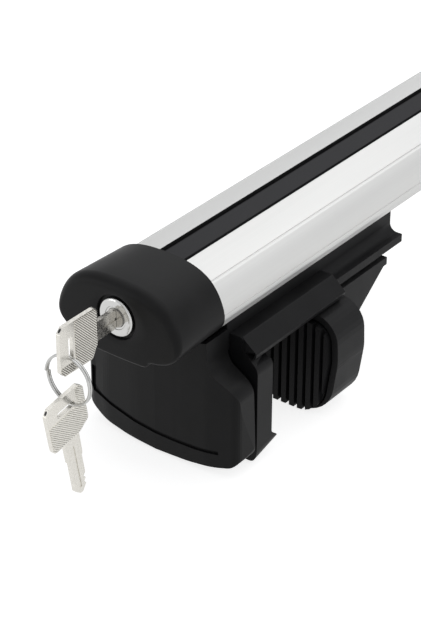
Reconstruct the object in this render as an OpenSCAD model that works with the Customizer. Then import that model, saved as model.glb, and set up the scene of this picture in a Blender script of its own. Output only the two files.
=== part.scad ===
// Lockable roof rack crossbar for raised rails: an aluminium bar on two clamping feet.
// The bar runs along Y. The origin is the middle of the rubber strip's flat top.
// Each foot is drawn about its own lock: Y = 0 on the face of its end cap, Y rising inwards,
// and Z = 0 on the lock's axis. End b is end a turned half round.

/* [Bar] */
// Length of the aluminium bar
bar_len = 1148; // [700:4:1400]
// Width of the bar
bar_w = 60; // [56:1:66]
// Height of the bar's top above the lock's axis
bar_above = 13.5; // [13:0.5:16]
// Depth of the bar's underside below the lock's axis
bar_below = 11.5; // [11.5:0.5:13]
// Radius of the crowned top
crown_r = 60; // [50:5:90]
// Radius of the rounded shoulders
shoulder_r = 18.5; // [17:0.5:19]
// Radius of the lower corners
corner_r = 4; // [3:0.5:5]
// Wall of the bar
bar_wall = 2.2; // [1.8:0.1:2.6]
// Width of the slot's mouth in the top
mouth_w = 15.6; // [12:0.2:18]
// Width of the slot below its lips
room_w = 25; // [22:0.5:27]
// Thickness of the slot's lips
lip_t = 2.6; // [2:0.1:3.5]
// Depth of the slot below the top
room_d = 10; // [9:0.5:11]
// Radius of the fine lines drawn along the bar
line_r = 0.4; // [0.2:0.1:0.6]

/* [Slot strip] */
// Gap on each side of the strip in the mouth
strip_gap = 0.7; // [0.3:0.1:1]
// Depth of the strip's top below the bar's top
strip_low = 1.1; // [0.5:0.1:1.5]
// Width of the ledge along each side of the strip
strip_ledge_w = 1.7; // [1.2:0.1:2]
// Depth of those ledges
strip_ledge_d = 1.3; // [0.5:0.1:1.5]
// Thickness of the strip's flange under the lips
strip_flange = 2; // [1.5:0.1:3]
// Thickness of the strip's two legs
strip_leg = 2; // [1.5:0.1:3]

/* [End cap] */
// Depth of the cap over the bar
cap_d = 34.5; // [33:0.5:38]
// Wall of the cap
cap_wall = 1.8; // [1.6:0.1:2.4]
// Gap between the cap and the bar
cap_gap = 0.3; // [0.2:0.05:0.5]
// Extra height of the cap's crown over its middle
cap_rise = 1.6; // [1:0.1:1.6]
// Rounding of the cap's front edge
cap_round = 5; // [2:0.5:6]
// Free room between the cap's face and the bar's end
bar_back = 26; // [25.5:0.5:28]
// Half width of the cap's middle tongue
tongue_w = 12; // [10:0.5:13]
// Depth of the tongue below the lock's axis
tongue_low = 21; // [20:0.5:21.5]
// Depth of the cap's underside beside the tongue
keel_low = 18; // [17:0.5:18.5]

/* [Lock] */
// Radius of the lock's bezel
bezel_r = 9; // [8:0.25:9.5]
// Thickness of the bezel
bezel_t = 1.4; // [1:0.1:2]
// Depth of the seat for the bezel in the cap's face
seat_d = 0.8; // [0.5:0.1:1]
// Radius of the lock's barrel
barrel_r = 6.5; // [6:0.25:7]
// Length of the barrel behind the cap's face
barrel_len = 20; // [19.8:0.1:20.4]
// Radius of the turning plug
plug_r = 4.5; // [4:0.1:4.7]
// Width over the flats of the ring nut
nut_af = 19; // [17:0.5:20]
// Thickness of the ring nut
nut_t = 4; // [3:0.5:5]
// Thickness of the cam
cam_t = 2; // [1.5:0.1:2.5]
// Reach of the cam from the lock's axis
cam_reach = 11; // [10.5:0.1:11.2]
// Height of the keeper's lip that the cam catches
keeper_h = 2.3; // [2:0.1:2.4]

/* [Keys] */
// Thickness of a key
key_t = 2; // [1.6:0.1:2.2]
// Width of a key's bow
bow_w = 24; // [22:0.5:26]
// Length of a key's bow
bow_len = 24; // [22:0.5:26]
// Slant of the bow's edge beside the blade, on one side
bow_cut = 3.6; // [3:0.2:5]
// Width of the blade that enters the lock
blade_w = 7.8; // [6.5:0.1:8]
// Length of the blade that enters the lock
blade_len = 18; // [16:0.5:18]
// Length of the neck between the bow and the lock
neck_len = 13; // [11:0.5:15]
// Radius of the ring's wire
wire_r = 0.6; // [0.5:0.05:0.7]
// Radius of the ring at the middle of its wire
ring_r = 11.8; // [10:0.2:12.5]

/* [Foot cover] */
// Half width of the foot
foot_w = 43.6; // [40:0.5:46]
// Depth of the foot's lowest point below the lock's axis
foot_low = 81.5; // [76:0.5:86]
// Radius of the foot's curved underside
foot_arc_r = 210; // [150:10:300]
// Place of the cover's face behind the cap's face
cover_y = 25; // [23:0.5:26]
// Wall of the cover
cover_wall = 2.6; // [2:0.1:3]
// Depth of the groove in the cover's face
groove_d = 1; // [0.5:0.1:1.5]
// Width of the groove in the cover's face
groove_w = 1.3; // [0.8:0.1:1.8]

/* [Saddle] */
// Length of the saddle behind the foot cover
saddle_len = 130.5; // [126:0.5:140]
// Half width of the saddle's body
saddle_w = 28; // [26:0.5:28.5]
// Half width of the saddle's flange
flange_w = 35; // [33:0.5:37]
// Height of the saddle
saddle_h = 15; // [14.5:0.5:16]
// Thickness of the flange
flange_t = 4; // [3:0.5:5]
// Radius of the fillet over the flange
fillet_r = 4; // [2:0.5:5]
// Half width of the channel that guides the jaw
channel_w = 14; // [13:0.5:15]
// Metal left over the channel
channel_roof = 2.4; // [2:0.1:3]

/* [Outer jaw] */
// Dark gap between the cover and the outer jaw
shadow_gap = 2; // [1.5:0.1:3]
// Thickness of the leg
leg_t = 11.3; // [9:0.1:13]
// Thickness of the seat that lies on the rail
seat_t = 2.8; // [2:0.1:3.2]
// Length of the seat behind the leg
seat_len = 58.5; // [54:0.5:62]
// Reach of the hook at the leg's foot
hook_len = 5; // [3:0.5:7]

/* [Inner jaw] */
// Free gap for the rail with the jaw wide open
rail_gap = 40.5; // [38:0.5:42]
// Travel of the jaw as the foot closes
jaw_travel = 30; // [24:1:31]
// Thickness of the jaw's head
head_t = 22; // [18:0.5:24]
// Half width of the jaw's head
head_w = 51.3; // [46:0.5:54]
// Wall of the jaw's head
head_wall = 4; // [3:0.5:5]
// Depth of the seat for the pad
pad_seat = 2.5; // [2:0.1:3]
// Thickness of the pad's ribs
rib_t = 2.4; // [1.5:0.1:3]
// Distance between the pad's ribs
rib_pitch = 4.6; // [4:0.1:6]
// Running gap between the jaw and what guides it
slide_gap = 0.3; // [0.2:0.05:0.5]

/* [Clamp bolt] */
// Radius of the bolt
bolt_r = 3; // [3:0.5:3]
// Radius of the bolt's head
bolt_head_r = 5; // [4.5:0.1:5.2]
// Height of the bolt's head
bolt_head_h = 6; // [5:0.5:6.5]
// Length of the bolt under its head
bolt_len = 100; // [96:1:110]
// Depth of the bolt's axis below the lock's axis
bolt_low = 19.2; // [19.2:0.1:19.3]

/* [Hidden] */
$fn = 48;

// How far a cut runs past the face that it opens
over = 1;
// Fit of a screw in its hole and of the plug in its barrel
fit = 0.05;
end_y = bar_len / 2 + bar_back;
// Height of the part's origin above the lock's axis
origin_z = bar_above - strip_low;

// Saddle
saddle_y = cover_y + 16.6;
saddle_end = saddle_y + saddle_len;
saddle_z = -bar_below - saddle_h;
channel_z = -bar_below - channel_roof;
channel_y = saddle_y + 21;
nose_w = tongue_w - 1.5;
nose_t = 2.6;
keeper_t = 2.3;
// The cam's tongue turns in behind the keeper
keeper_y = barrel_len + 0.8 - 0.5 - keeper_t;

// Outer jaw
cover_back = saddle_y - 0.4;
leg_y = cover_back + shadow_gap;
leg_back = leg_y + leg_t;
seat_end = leg_back + seat_len;
seat_z = saddle_z - seat_t;
runway = 0.3;

// Inner jaw: the head, its plate, its gussets and the carriage that runs in the channel
head_y = leg_back + rail_gap;
head_back = head_y + head_t;
head_top = seat_z - slide_gap;
head_low = foot_low + 1;
plate_t = 4;
plate_end = head_back + 42.5;
gusset_t = 3.5;
gusset_h = 34;
carriage_y = head_back + 2;
carriage_len = 31;

// Clamp bolt
bolt_seat_y = saddle_y + 6.2;
hex_r = 2.9;
washer_t = 1.6;
washer_r = 6;
clear_r = bolt_r + 0.3;
jaw_nut_y = carriage_y + 4;
jaw_nut_t = 5;
jaw_nut_w = 10;

// Bolts of the saddle and screws of the outer jaw, as [X, Y]
saddle_bolt_xy = [for (y = [channel_y + 11.5, saddle_end - 27], x = [-21, 21]) [x, y]];
liner_screw_xy = [for (y = [channel_y - 0.5, seat_end - 9], x = [-24, 24]) [x, y]];
pocket_x = 20.7;
pocket_w = 4.2;
saddle_head_h = 6;
saddle_head_low = 1;
cover_screw_x = 26;
cover_screw_z = -60;
cover_screw_r = 2;
boss_r = 4.5;
cover_screw_tip = cover_y + 9;

// Nut plate inside the bar
plate_w = bar_w / 2 - 5;
nut_plate_t = 4;

// Keys
bow_y = -neck_len - bow_len;
key_slot_y = bow_y + 6.8;
key_slot_w = 4.4 * wire_r + 0.2;
key_slot_h = 11.4;
ring_y = key_slot_y;
ring_x = -1;
// The ring's two turns clear the end of the slot as it swings
ring_lift = 1.9 * wire_r;
ring_z = -key_slot_h / 2 + ring_lift - ring_r;
spare_tilt = 10;
// Gap round a key's blade in its keyway
key_gap = 0.1;

// Unit vector along v
function unit(v) = v / norm(v);

// Points of the arc that rounds corner b between a and c; b holds [x, y, radius]
function corner(a, b, c, n) =
    let (r = b[2], p = [b[0], b[1]], u = unit([a[0], a[1]] - p), w = unit([c[0], c[1]] - p),
        half = acos(max(-1, min(1, u * w))) / 2)
    r == 0 || half > 89.5 ? [p] :
    let (mid = p + unit(u + w) * r / sin(half), s = p + u * r / tan(half) - mid,
        from = atan2(s[1], s[0]), turn = 180 - 2 * half,
        way = cross([u[0], u[1]], [w[0], w[1]]) > 0 ? -1 : 1)
    [for (i = [0 : n]) let (a = from + way * turn * i / n) mid + r * [cos(a), sin(a)]];

// Closed outline with every corner [x, y, radius] rounded
function soften(pts, n = 6) =
    let (k = len(pts))
    [for (i = [0 : k - 1]) each corner(pts[(i + k - 1) % k], pts[i], pts[(i + 1) % k], n)];

// Right half of an outline and its mirror image, from the bottom round to the top
function both_sides(right) =
    concat(right, [for (i = [len(right) - 1 : -1 : 0]) [-right[i][0], right[i][1], right[i][2]]]);

// Band of width w along a path
function band(path, w) =
    let (k = len(path),
        n = [for (i = [0 : k - 1])
            let (d = unit(path[min(i + 1, k - 1)] - path[max(i - 1, 0)])) [-d[1], d[0]]])
    concat([for (i = [0 : k - 1]) path[i] + n[i] * w / 2],
        [for (i = [k - 1 : -1 : 0]) path[i] - n[i] * w / 2]);

// Height of the foot's curved underside at x
function under(x) = -foot_low + x * x / (2 * foot_arc_r);

// An outline in X and Z, drawn out along Y
module run_y(from, to) translate([0, to, 0]) rotate([90, 0, 0]) linear_extrude(to - from) children();

// An outline in Y and Z, drawn out along X, centred
module run_x(w) translate([-w / 2, 0, 0]) rotate([90, 0, 90]) linear_extrude(w) children();

// A rod along Y
module rod_y(r, from, to) translate([0, to, 0]) rotate([90, 0, 0]) cylinder(h = to - from, r = r);

// A box between two corners
module box(a, b) translate(a) cube(b - a);

// Places an end of the bar: side -1 is end a, side 1 is end b
module at_end(side) rotate([0, 0, side > 0 ? 180 : 0]) translate([0, -end_y, -origin_z]) children();

// Sides and underside of the bar, grown by g, its shoulders raised by lift and not yet cut by the crown
module bar_sides(g = 0, lift = 0) intersection() {
    translate([-bar_w, -bar_below - g]) square([2 * bar_w, 2 * bar_w]);
    union() {
        for (s = [-1, 1]) {
            translate([s * (bar_w / 2 - shoulder_r), bar_above + lift - shoulder_r])
                circle(r = shoulder_r + g);
            translate([s * (bar_w / 2 - corner_r), corner_r - bar_below]) circle(r = corner_r + g);
        }
        translate([-bar_w / 2 - g, corner_r - bar_below])
            square([bar_w + 2 * g, bar_above + lift + bar_below - shoulder_r - corner_r]);
        translate([-bar_w / 2 + shoulder_r, 0])
            square([bar_w - 2 * shoulder_r, bar_above + g + 3 * lift + over]);
        translate([-bar_w / 2 + corner_r, -bar_below - g]) square([bar_w - 2 * corner_r, bar_below + g]);
    }
}

// Outline of the bar, grown by g on every side
module bar_outline(g = 0) intersection() {
    translate([0, bar_above - crown_r]) circle(r = crown_r + g, $fn = 144);
    bar_sides(g);
}

// Aluminium extrusion with a slot along its top
module crossbar_profile() color("gainsboro") translate([0, 0, -origin_z]) difference() {
    run_y(-bar_len / 2, bar_len / 2) difference() {
        bar_outline();
        difference() {
            bar_outline(-bar_wall);
            translate([-room_w / 2 - bar_wall, bar_above - room_d - bar_wall])
                square([room_w + 2 * bar_wall, room_d + bar_wall]);
        }
        translate([-room_w / 2, bar_above - room_d]) square([room_w, room_d - lip_t]);
        translate([-mouth_w / 2, 0]) square([mouth_w, bar_above + over]);
        for (s = [-1, 1]) {
            line_x = bar_w / 2 - 7;
            translate([s * line_x, bar_above - crown_r + sqrt(crown_r * crown_r - line_x * line_x)])
                circle(r = line_r, $fn = 24);
            translate([s * bar_w / 2, corner_r + 2 - bar_below]) circle(r = line_r, $fn = 24);
        }
    }
    for (turn = [0, 180], xy = saddle_bolt_xy)
        rotate([0, 0, turn]) translate([xy[0], xy[1] - end_y, -bar_below - over])
            cylinder(h = bar_wall + 2 * over, r = clear_r);
}

// Rubber strip that closes the slot between the caps: a raised middle with a ledge along each side,
// a flange under the lips and two legs on the slot's floor
module slot_strip() color("dimgray") translate([0, 0, -origin_z])
    run_y(cap_d + cap_gap - end_y, end_y - cap_d - cap_gap) {
    top = bar_above - strip_low;
    under_lip = bar_above - lip_t - 0.3;
    w = mouth_w / 2 - strip_gap;
    translate([-w, under_lip - strip_flange])
        square([2 * w, top - strip_ledge_d - under_lip + strip_flange]);
    translate([strip_ledge_w - w, under_lip - strip_flange])
        square([2 * (w - strip_ledge_w), top - under_lip + strip_flange]);
    translate([-room_w / 2 + 0.5, under_lip - strip_flange]) square([room_w - 1, strip_flange]);
    for (s = [-1, 1])
        translate([s * (w - strip_leg) - strip_leg / 2, bar_above - room_d + 0.2])
            square([strip_leg, room_d - lip_t - 0.4]);
}

// The cap's underside: a shallow keel, d inside its outer face
module keel(d = 0) {
    side = bar_w / 2 + cap_gap + cap_wall - d;
    polygon(soften(both_sides([[14 - 0.3 * d, d - keel_low, 2], [side - 4.8 + 0.1 * d, 0.8 * d - 14.2, 7],
        [side, -6.5, 9], [side, -5, 0]])));
}

// The cap's middle tongue, d inside its outer face
module tongue(d = 0) polygon(soften(both_sides([[tongue_w - 0.6 * d, d - tongue_low, 1.2],
    [tongue_w + 2 - d, -14, 0]]), 3));

// The cap's outer form: the bar's section grown and keeled, its front edge rounded from three sides
module cap_form() {
    grow = cap_gap + cap_wall;
    back = cap_d + over;
    // The rounding curves run a hair past the faces they meet
    e = 0.04;
    intersection() {
        run_y(-over, cap_d) {
            bar_sides(grow, cap_rise / 3);
            keel();
        }
        translate([0, 0, bar_above + cap_rise - crown_r]) rotate([-90, 0, 0]) rotate_extrude($fn = 144)
            polygon(soften([[0, 0, 0], [crown_r + grow, 0, cap_round],
                [crown_r + grow, back, 0], [0, back, 0]]));
        translate([0, 0, -bar_w / 2]) linear_extrude(bar_w) polygon(soften(
            [[-bar_w / 2 - grow - e, -e, cap_round], [bar_w / 2 + grow + e, -e, cap_round],
            [bar_w / 2 + grow + e, back, 0], [-bar_w / 2 - grow - e, back, 0]]));
        run_x(2 * bar_w) polygon(soften(
            [[-e, -keel_low - e, cap_round - 1], [back, -keel_low - e, 0],
            [back, bar_w, 0], [-e, bar_w, 0]]));
    }
}

// Hollow end cap, rounded at the front and open at the back
module end_cap() color("#2b2b2c") difference() {
    union() {
        cap_form();
        run_y(1.2, cap_d) tongue();
        run_y(0.3, 1.3) tongue(0.8);
    }
    run_y(cap_wall, cap_d + over) {
        bar_outline(cap_gap);
        keel(cap_wall);
        tongue(cap_wall);
    }
    rod_y(barrel_r + fit, -over, cap_wall + over);
    rod_y(bezel_r + 1.2, -over, seat_d);
}

// Chromed lock housing: bezel and barrel in one piece
module lock_body() color("silver") difference() {
    union() {
        translate([0, seat_d, 0]) rotate([90, 0, 0]) rotate_extrude()
            polygon([[0, 0], [bezel_r, 0], [bezel_r, bezel_t - 0.6], [bezel_r - 0.5, bezel_t - 0.2],
                [bezel_r - 1.6, bezel_t], [0, bezel_t]]);
        rod_y(barrel_r, seat_d - 0.2, barrel_len);
    }
    rod_y(plug_r, seat_d - bezel_t - over, barrel_len + over);
    rod_y(plug_r + 1, seat_d - bezel_t - over, seat_d - bezel_t + 0.5);
}

// Ring nut that holds the lock in the cap
module lock_nut() color("slategray") difference() {
    translate([0, cap_wall + nut_t, 0]) rotate([90, 0, 0])
        cylinder(h = nut_t, d = nut_af / cos(30), $fn = 6);
    rod_y(barrel_r + fit, cap_wall - over, cap_wall + nut_t + over);
}

// Plug that the key turns, with its keyway and the square that carries the cam
module lock_plug() color("darkgray") difference() {
    front = seat_d - bezel_t - 0.3;
    union() {
        rod_y(plug_r - fit, front, barrel_len + 0.8);
        box([-2.5, barrel_len, -2.5], [2.5, barrel_len + 0.8 + cam_t, 2.5]);
    }
    // keyway
    translate([0, 0, -blade_w / 2 - key_gap]) run_x(key_t + 2 * key_gap)
        translate([front - over, 0]) square([blade_len + 0.3 - front + over, blade_w + 2 * key_gap]);
    rod_y(1.5 + fit, blade_len + 1.2, barrel_len + cam_t + 2);
}

// Steel cam, drawn unlocked: its tongue points sideways, clear of the keeper
module lock_cam() color("gray") {
    back = barrel_len + 0.8;
    run_y(back, back + cam_t) difference() {
        union() {
            circle(r = 5);
            polygon(soften([[0, -4, 0], [cam_reach, -3.2, 1], [cam_reach, 3.2, 1], [0, 4, 0]]));
        }
        square(5 + 2 * fit, center = true);
    }
}

// Screw that holds the cam on the plug
module cam_screw() color("silver") {
    seat = barrel_len + 0.8 + cam_t;
    difference() {
        rod_y(3, seat, seat + 1.8);
        box([-3, seat + 1, -0.4], [3, seat + 3, 0.4]);
    }
    rod_y(1.5, blade_len + 1.7, seat + 0.1);
}

// A key: bow, neck and blade in the Y-Z plane, its shoulder at the lock's face
module key_blank() run_x(key_t) difference() {
    union() {
        polygon(soften([[bow_y, -bow_w / 2 + 2.6, 0.8], [bow_y + 2.6, -bow_w / 2, 0.8],
            [-neck_len - bow_cut, -bow_w / 2, 2], [-neck_len, -4.7, 0],
            [-neck_len, bow_w / 2, 2.6], [bow_y + 2.6, bow_w / 2, 0.8], [bow_y, bow_w / 2 - 2.6, 0.8]], 3));
        polygon(soften([[-neck_len - 1, -4.8, 0], [-2.2, -4.6, 1],
            [-1.2, -blade_w / 2, 0.3], [9, -blade_w / 2, 0.5],
            [10.5, -blade_w / 2 + 1.4, 0.5], [12, -blade_w / 2 + 0.3, 0.5],
            [13.4, -blade_w / 2 + 1.6, 0.5], [15, -blade_w / 2 + 0.6, 0.5],
            [blade_len, -0.6, 0.5], [blade_len, 1, 0.5], [blade_len - 3, blade_w / 2, 0.5],
            [-1.2, blade_w / 2, 0.3], [-2.2, 4.6, 1], [-neck_len - 1, 4.8, 0]], 3));
    }
    straight = key_slot_h - key_slot_w;
    for (s = [-1, 1]) translate([key_slot_y, s * straight / 2]) circle(d = key_slot_w, $fn = 24);
    translate([key_slot_y - key_slot_w / 2, -straight / 2]) square([key_slot_w, straight]);
}

// Groove milled along the blade
module key_flute() for (s = [-1, 1])
    translate([s * key_t / 2, 0, 0]) box([-0.35, -9, -0.4], [0.35, blade_len - 3, 0.9]);

module key() color("silver") difference() {
    key_blank();
    key_flute();
}

// Split ring: two turns of wire lying against each other, through both keys
module split_ring() color("silver") translate([ring_x, ring_y, ring_z]) rotate([90, 0, 0])
    rotate_extrude($fn = 64) for (s = [-1, 1])
        translate([ring_r, s * wire_r * 0.9]) circle(r = wire_r, $fn = 24);

// Spare key, hanging by its slot from the bottom of the ring
module spare_key() color("silver")
    translate([ring_x, ring_y, ring_z - ring_r]) rotate([spare_tilt - 90, 0, 0])
        translate([0, -key_slot_y, key_slot_w / 2 + 0.5 - key_slot_h / 2]) rotate([0, 180, 0]) difference() {
            key_blank();
            key_flute();
        }

// Side view outline of the cover in X and Z, d inside its outer face
module cover_front(d = 0) polygon(soften(both_sides([
    [0.01, under(0) + d, 0], [18, under(18) + d, 60], [33, under(33) + d, 40],
    [foot_w - d, under(foot_w) + d, 7], [foot_w - 1.4 - d, -38.5 - 0.8 * d, 9],
    [saddle_w + 0.8 - d, -30 - 0.6 * d, 9],
    [saddle_w + 0.4 - d, -15.4, 0], [14.6, -19.2, 0], [14.2, -tongue_low - 1, 0]]), 8));

// Plan outline of the cover in X and Y, d inside its outer face
module cover_plan(d = 0) polygon(soften(both_sides([
    [foot_w - d, cover_back + over, 0], [foot_w - 1.3 - d, cover_y + 6.4 + d, 4],
    [28, cover_y + 2.9 + d, 60], [12, cover_y + 0.5 + d, 60], [0.01, cover_y + d, 0]]), 5));

// The cover as a solid, d inside its outer face
module cover_solid(d = 0) intersection() {
    run_y(cover_y - over, cover_back) cover_front(d);
    translate([0, 0, -foot_low - over]) linear_extrude(foot_low + over) cover_plan(d);
}

// Outer cover of the foot: a moulded shell with an open back, a groove and two screw bosses
module foot_cover() color("#27282a") {
    difference() {
        cover_solid();
        difference() {
            cover_solid(cover_wall);
            for (s = [-1, 1])
                translate([s * cover_screw_x, 0, cover_screw_z]) rod_y(boss_r, cover_y, cover_back + over);
            for (x = [-14, 14]) box([x - 0.9, cover_y, -foot_low], [x + 0.9, cover_back - 6, -30]);
        }
        run_y(cover_back - 2, cover_back + over) difference() {
            cover_front(cover_wall);
            for (s = [-1, 1]) translate([s * cover_screw_x, cover_screw_z]) circle(r = boss_r);
        }
        // groove along the face
        difference() {
            run_y(0, cover_back - 4)
                polygon(band([[-37, -50], [-36.8, -61], [-35, -64.4], [-26, -69], [-12, -72],
                    [0, -72.9], [10, -72.9], [22, -72.2], [33.7, -70.6]], groove_w));
            translate([0, 0, -foot_low]) linear_extrude(foot_low) cover_plan(groove_d);
        }
        // way to the clamp bolt
        translate([0, 0, -bolt_low]) rod_y(7, cover_y - over, cover_back + over);
        for (s = [-1, 1]) translate([s * cover_screw_x, 0, cover_screw_z])
            rod_y(cover_screw_r + fit, cover_screw_tip - 1, cover_back + over);
    }
    // ends of the bosses, seated on the leg
    for (s = [-1, 1]) translate([s * cover_screw_x, 0, cover_screw_z]) difference() {
        rod_y(boss_r, cover_back - over, leg_y);
        rod_y(cover_screw_r + fit, cover_back - 2 * over, leg_y + over);
    }
}

// Screws that draw the cover against the outer jaw's leg
module cover_screws() color("dimgray") for (s = [-1, 1]) translate([s * cover_screw_x, 0, cover_screw_z]) {
    rod_y(cover_screw_r, cover_screw_tip, leg_back - 3.9);
    difference() {
        rod_y(3.6, leg_back - 4, leg_back - 1.4);
        rod_y(1.4, leg_back - 3, leg_back);
    }
}

// Section of the saddle in X and Z, grown by g; the flange is left off where flanged is false
module saddle_section(g = 0, flanged = true) {
    translate([-saddle_w - g, saddle_z]) square([2 * (saddle_w + g), saddle_h]);
    if (flanged) {
        translate([-flange_w - g, saddle_z]) square([2 * (flange_w + g), flange_t + g]);
        for (s = [-1, 1]) difference() {
            half = (fillet_r + g) / 2;
            translate([s * (saddle_w + half), saddle_z + flange_t + half]) square(2 * half, center = true);
            translate([s * (saddle_w + 2 * half), saddle_z + flange_t + 2 * half]) circle(r = fillet_r);
        }
    }
}

// Cast saddle under the bar: flanges, a channel for the jaw, bolt seats, and the nose with the lock's keeper
module foot_saddle() color("#2a2a2b") difference() {
    union() {
        run_y(saddle_y, leg_back + 0.5) saddle_section(0, false);
        run_y(leg_back + 0.5, saddle_end) saddle_section();
        box([-nose_w, keeper_y, -bar_below - nose_t], [nose_w, saddle_y + over, -bar_below]);
        box([-6, keeper_y, -bar_below - nose_t], [6, keeper_y + keeper_t, keeper_h - bar_below]);
    }
    // channel
    box([-channel_w, channel_y, saddle_z - over], [channel_w, saddle_end + over, channel_z]);
    // pockets that even out the walls
    for (s = [-1, 1], y = [[channel_y + 20, channel_y + 32], [channel_y + 50, channel_y + 74],
        [saddle_end - 18, saddle_end - 5]])
        box([s * pocket_x - pocket_w, y[0], saddle_z - over],
            [s * pocket_x + pocket_w, y[1], -bar_below - 3]);
    // clamp bolt
    translate([0, 0, -bolt_low]) {
        rod_y(washer_r + 0.3, saddle_y - over, bolt_seat_y + washer_t);
        rod_y(clear_r, saddle_y, channel_y + over);
    }
    for (xy = saddle_bolt_xy) translate([xy[0], xy[1], 0]) {
        translate([0, 0, saddle_z - over]) cylinder(h = saddle_h + 2 * over, r = clear_r);
        translate([0, 0, saddle_z - over])
            cylinder(h = over + saddle_head_h + saddle_head_low, r = bolt_head_r + 0.4);
    }
    for (xy = liner_screw_xy)
        translate([xy[0], xy[1], saddle_z - over]) cylinder(h = 8 + over, r = 2 + fit);
}

// Bolts that hold the saddle up against the bar
module saddle_bolts() color("silver") for (xy = saddle_bolt_xy)
    translate([xy[0], xy[1], saddle_z + saddle_head_low]) {
        difference() {
            cylinder(h = saddle_head_h, r = bolt_head_r);
            translate([0, 0, -over]) cylinder(h = 3 + over, r = hex_r, $fn = 6);
        }
        translate([0, 0, saddle_head_h - 0.1])
            cylinder(h = saddle_h - saddle_head_low - saddle_head_h + bar_wall + nut_plate_t + 1.1,
                r = bolt_r);
    }

// Steel strip inside the bar that the saddle's bolts screw into
module nut_plate() color("lightsteelblue") difference() {
    floor_z = bar_wall - bar_below;
    box([-plate_w, saddle_bolt_xy[0][1] - 10, floor_z],
        [plate_w, saddle_bolt_xy[2][1] + 10, floor_z + nut_plate_t]);
    for (xy = saddle_bolt_xy) translate([xy[0], xy[1], floor_z - over])
        cylinder(h = nut_plate_t + 2 * over, r = bolt_r + fit);
}

// Outline of the outer jaw's leg in X and Z
module leg_front() polygon(soften(both_sides([
    [0.01, under(0) + 0.6, 0], [18, under(18) + 0.6, 60], [32, under(32) + 0.6, 40],
    [foot_w, under(foot_w) + 0.6, 5], [foot_w, -32, 6],
    [saddle_w + 6.2, -23.4, 4], [saddle_w + 8.4, -18.3, 1.5], [saddle_w, -18.3, 0]]), 8));

// Outline of the leg and its hook in Y and Z
module leg_side() {
    heel = -foot_low + 0.6;
    toe = heel + 5.2;
    polygon(soften([[leg_y, heel - 0.5, 0], [leg_back + hook_len, toe, 0.6],
        [leg_back + hook_len - 0.4, toe + 1.8, 0.4],
        [leg_back, toe + 6, 2], [leg_back, seat_z, 0], [leg_back, 0, 0], [leg_y, 0, 0]]));
}

// Section of the seat and its flared skirts in X and Z
module seat_section() polygon(soften(both_sides([
    [flange_w + 1.5, seat_z, 1], [flange_w + 6.4, saddle_z - 1, 0.8], [flange_w + 7.2, saddle_z + 1.7, 0.8],
    [saddle_w + 6.9, saddle_z + 8.3, 0.8], [saddle_w + 0.2, saddle_z + 8.2, 0]]), 3));

// Plan of the skirts: flush with the leg's shoulder at the front, from where they flare out
module skirt_plan() polygon(soften(both_sides([
    [saddle_w + 8.2, leg_y, 0], [flange_w + 8, leg_y + 11, 12], [flange_w + 8, seat_end, 0]]), 8));

// Outer jaw: leg with a hook under the rail, a seat on the rail and skirts over the saddle's flanges
module rail_liner() color("#232324") difference() {
    union() {
        intersection() {
            run_y(leg_y, leg_back + hook_len) leg_front();
            run_x(2 * foot_w + 2) leg_side();
        }
        intersection() {
            run_y(leg_y + 0.5, seat_end) seat_section();
            translate([0, 0, seat_z - over]) linear_extrude(saddle_h) skirt_plan();
        }
    }
    run_y(leg_y - over, leg_back + 0.6) saddle_section(0.15, false);
    run_y(leg_back + 0.4, seat_end + over) saddle_section(0.15);
    // runway over the inner jaw, clear of the rail's top
    box([-foot_w, head_y - rib_t - 0.2, seat_z - over], [foot_w, seat_end + over, seat_z + runway]);
    // room for the carriage of the inner jaw
    box([-channel_w, carriage_y - jaw_travel - over, seat_z - over],
        [channel_w, seat_end + over, saddle_z + over]);
    for (xy = liner_screw_xy) translate([xy[0], xy[1], seat_z]) {
        translate([0, 0, -over]) cylinder(h = seat_t + 2 * over, r = 2.2);
        translate([0, 0, -over]) cylinder(h = over + 1.4, r = 4);
    }
    for (s = [-1, 1]) translate([s * cover_screw_x, 0, cover_screw_z]) {
        rod_y(cover_screw_r + 0.2, leg_y - over, leg_back + over);
        rod_y(3.9, leg_back - 4, leg_back + over);
    }
}

// Screws that hold the outer jaw up against the saddle
module liner_screws() color("dimgray") for (xy = liner_screw_xy) translate([xy[0], xy[1], seat_z]) {
    translate([0, 0, 0.2]) difference() {
        cylinder(h = 1.2, r = 3.7);
        translate([0, 0, -over]) cylinder(h = over + 0.8, r = 1.4, $fn = 6);
    }
    translate([0, 0, 1.2]) cylinder(h = seat_t + 6, r = 2);
}

// Outline of the inner jaw's head in X and Z, d inside its sides and top and b above its bottom
module head_front(d = 0, b = 0) polygon(soften(both_sides([
    [head_w - 4.3 - d, b - head_low, max(2, 18 - d)], [head_w - d, -52, 30],
    [head_w - 1 - d, head_top - d, 13 - d]]), 8));

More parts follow.
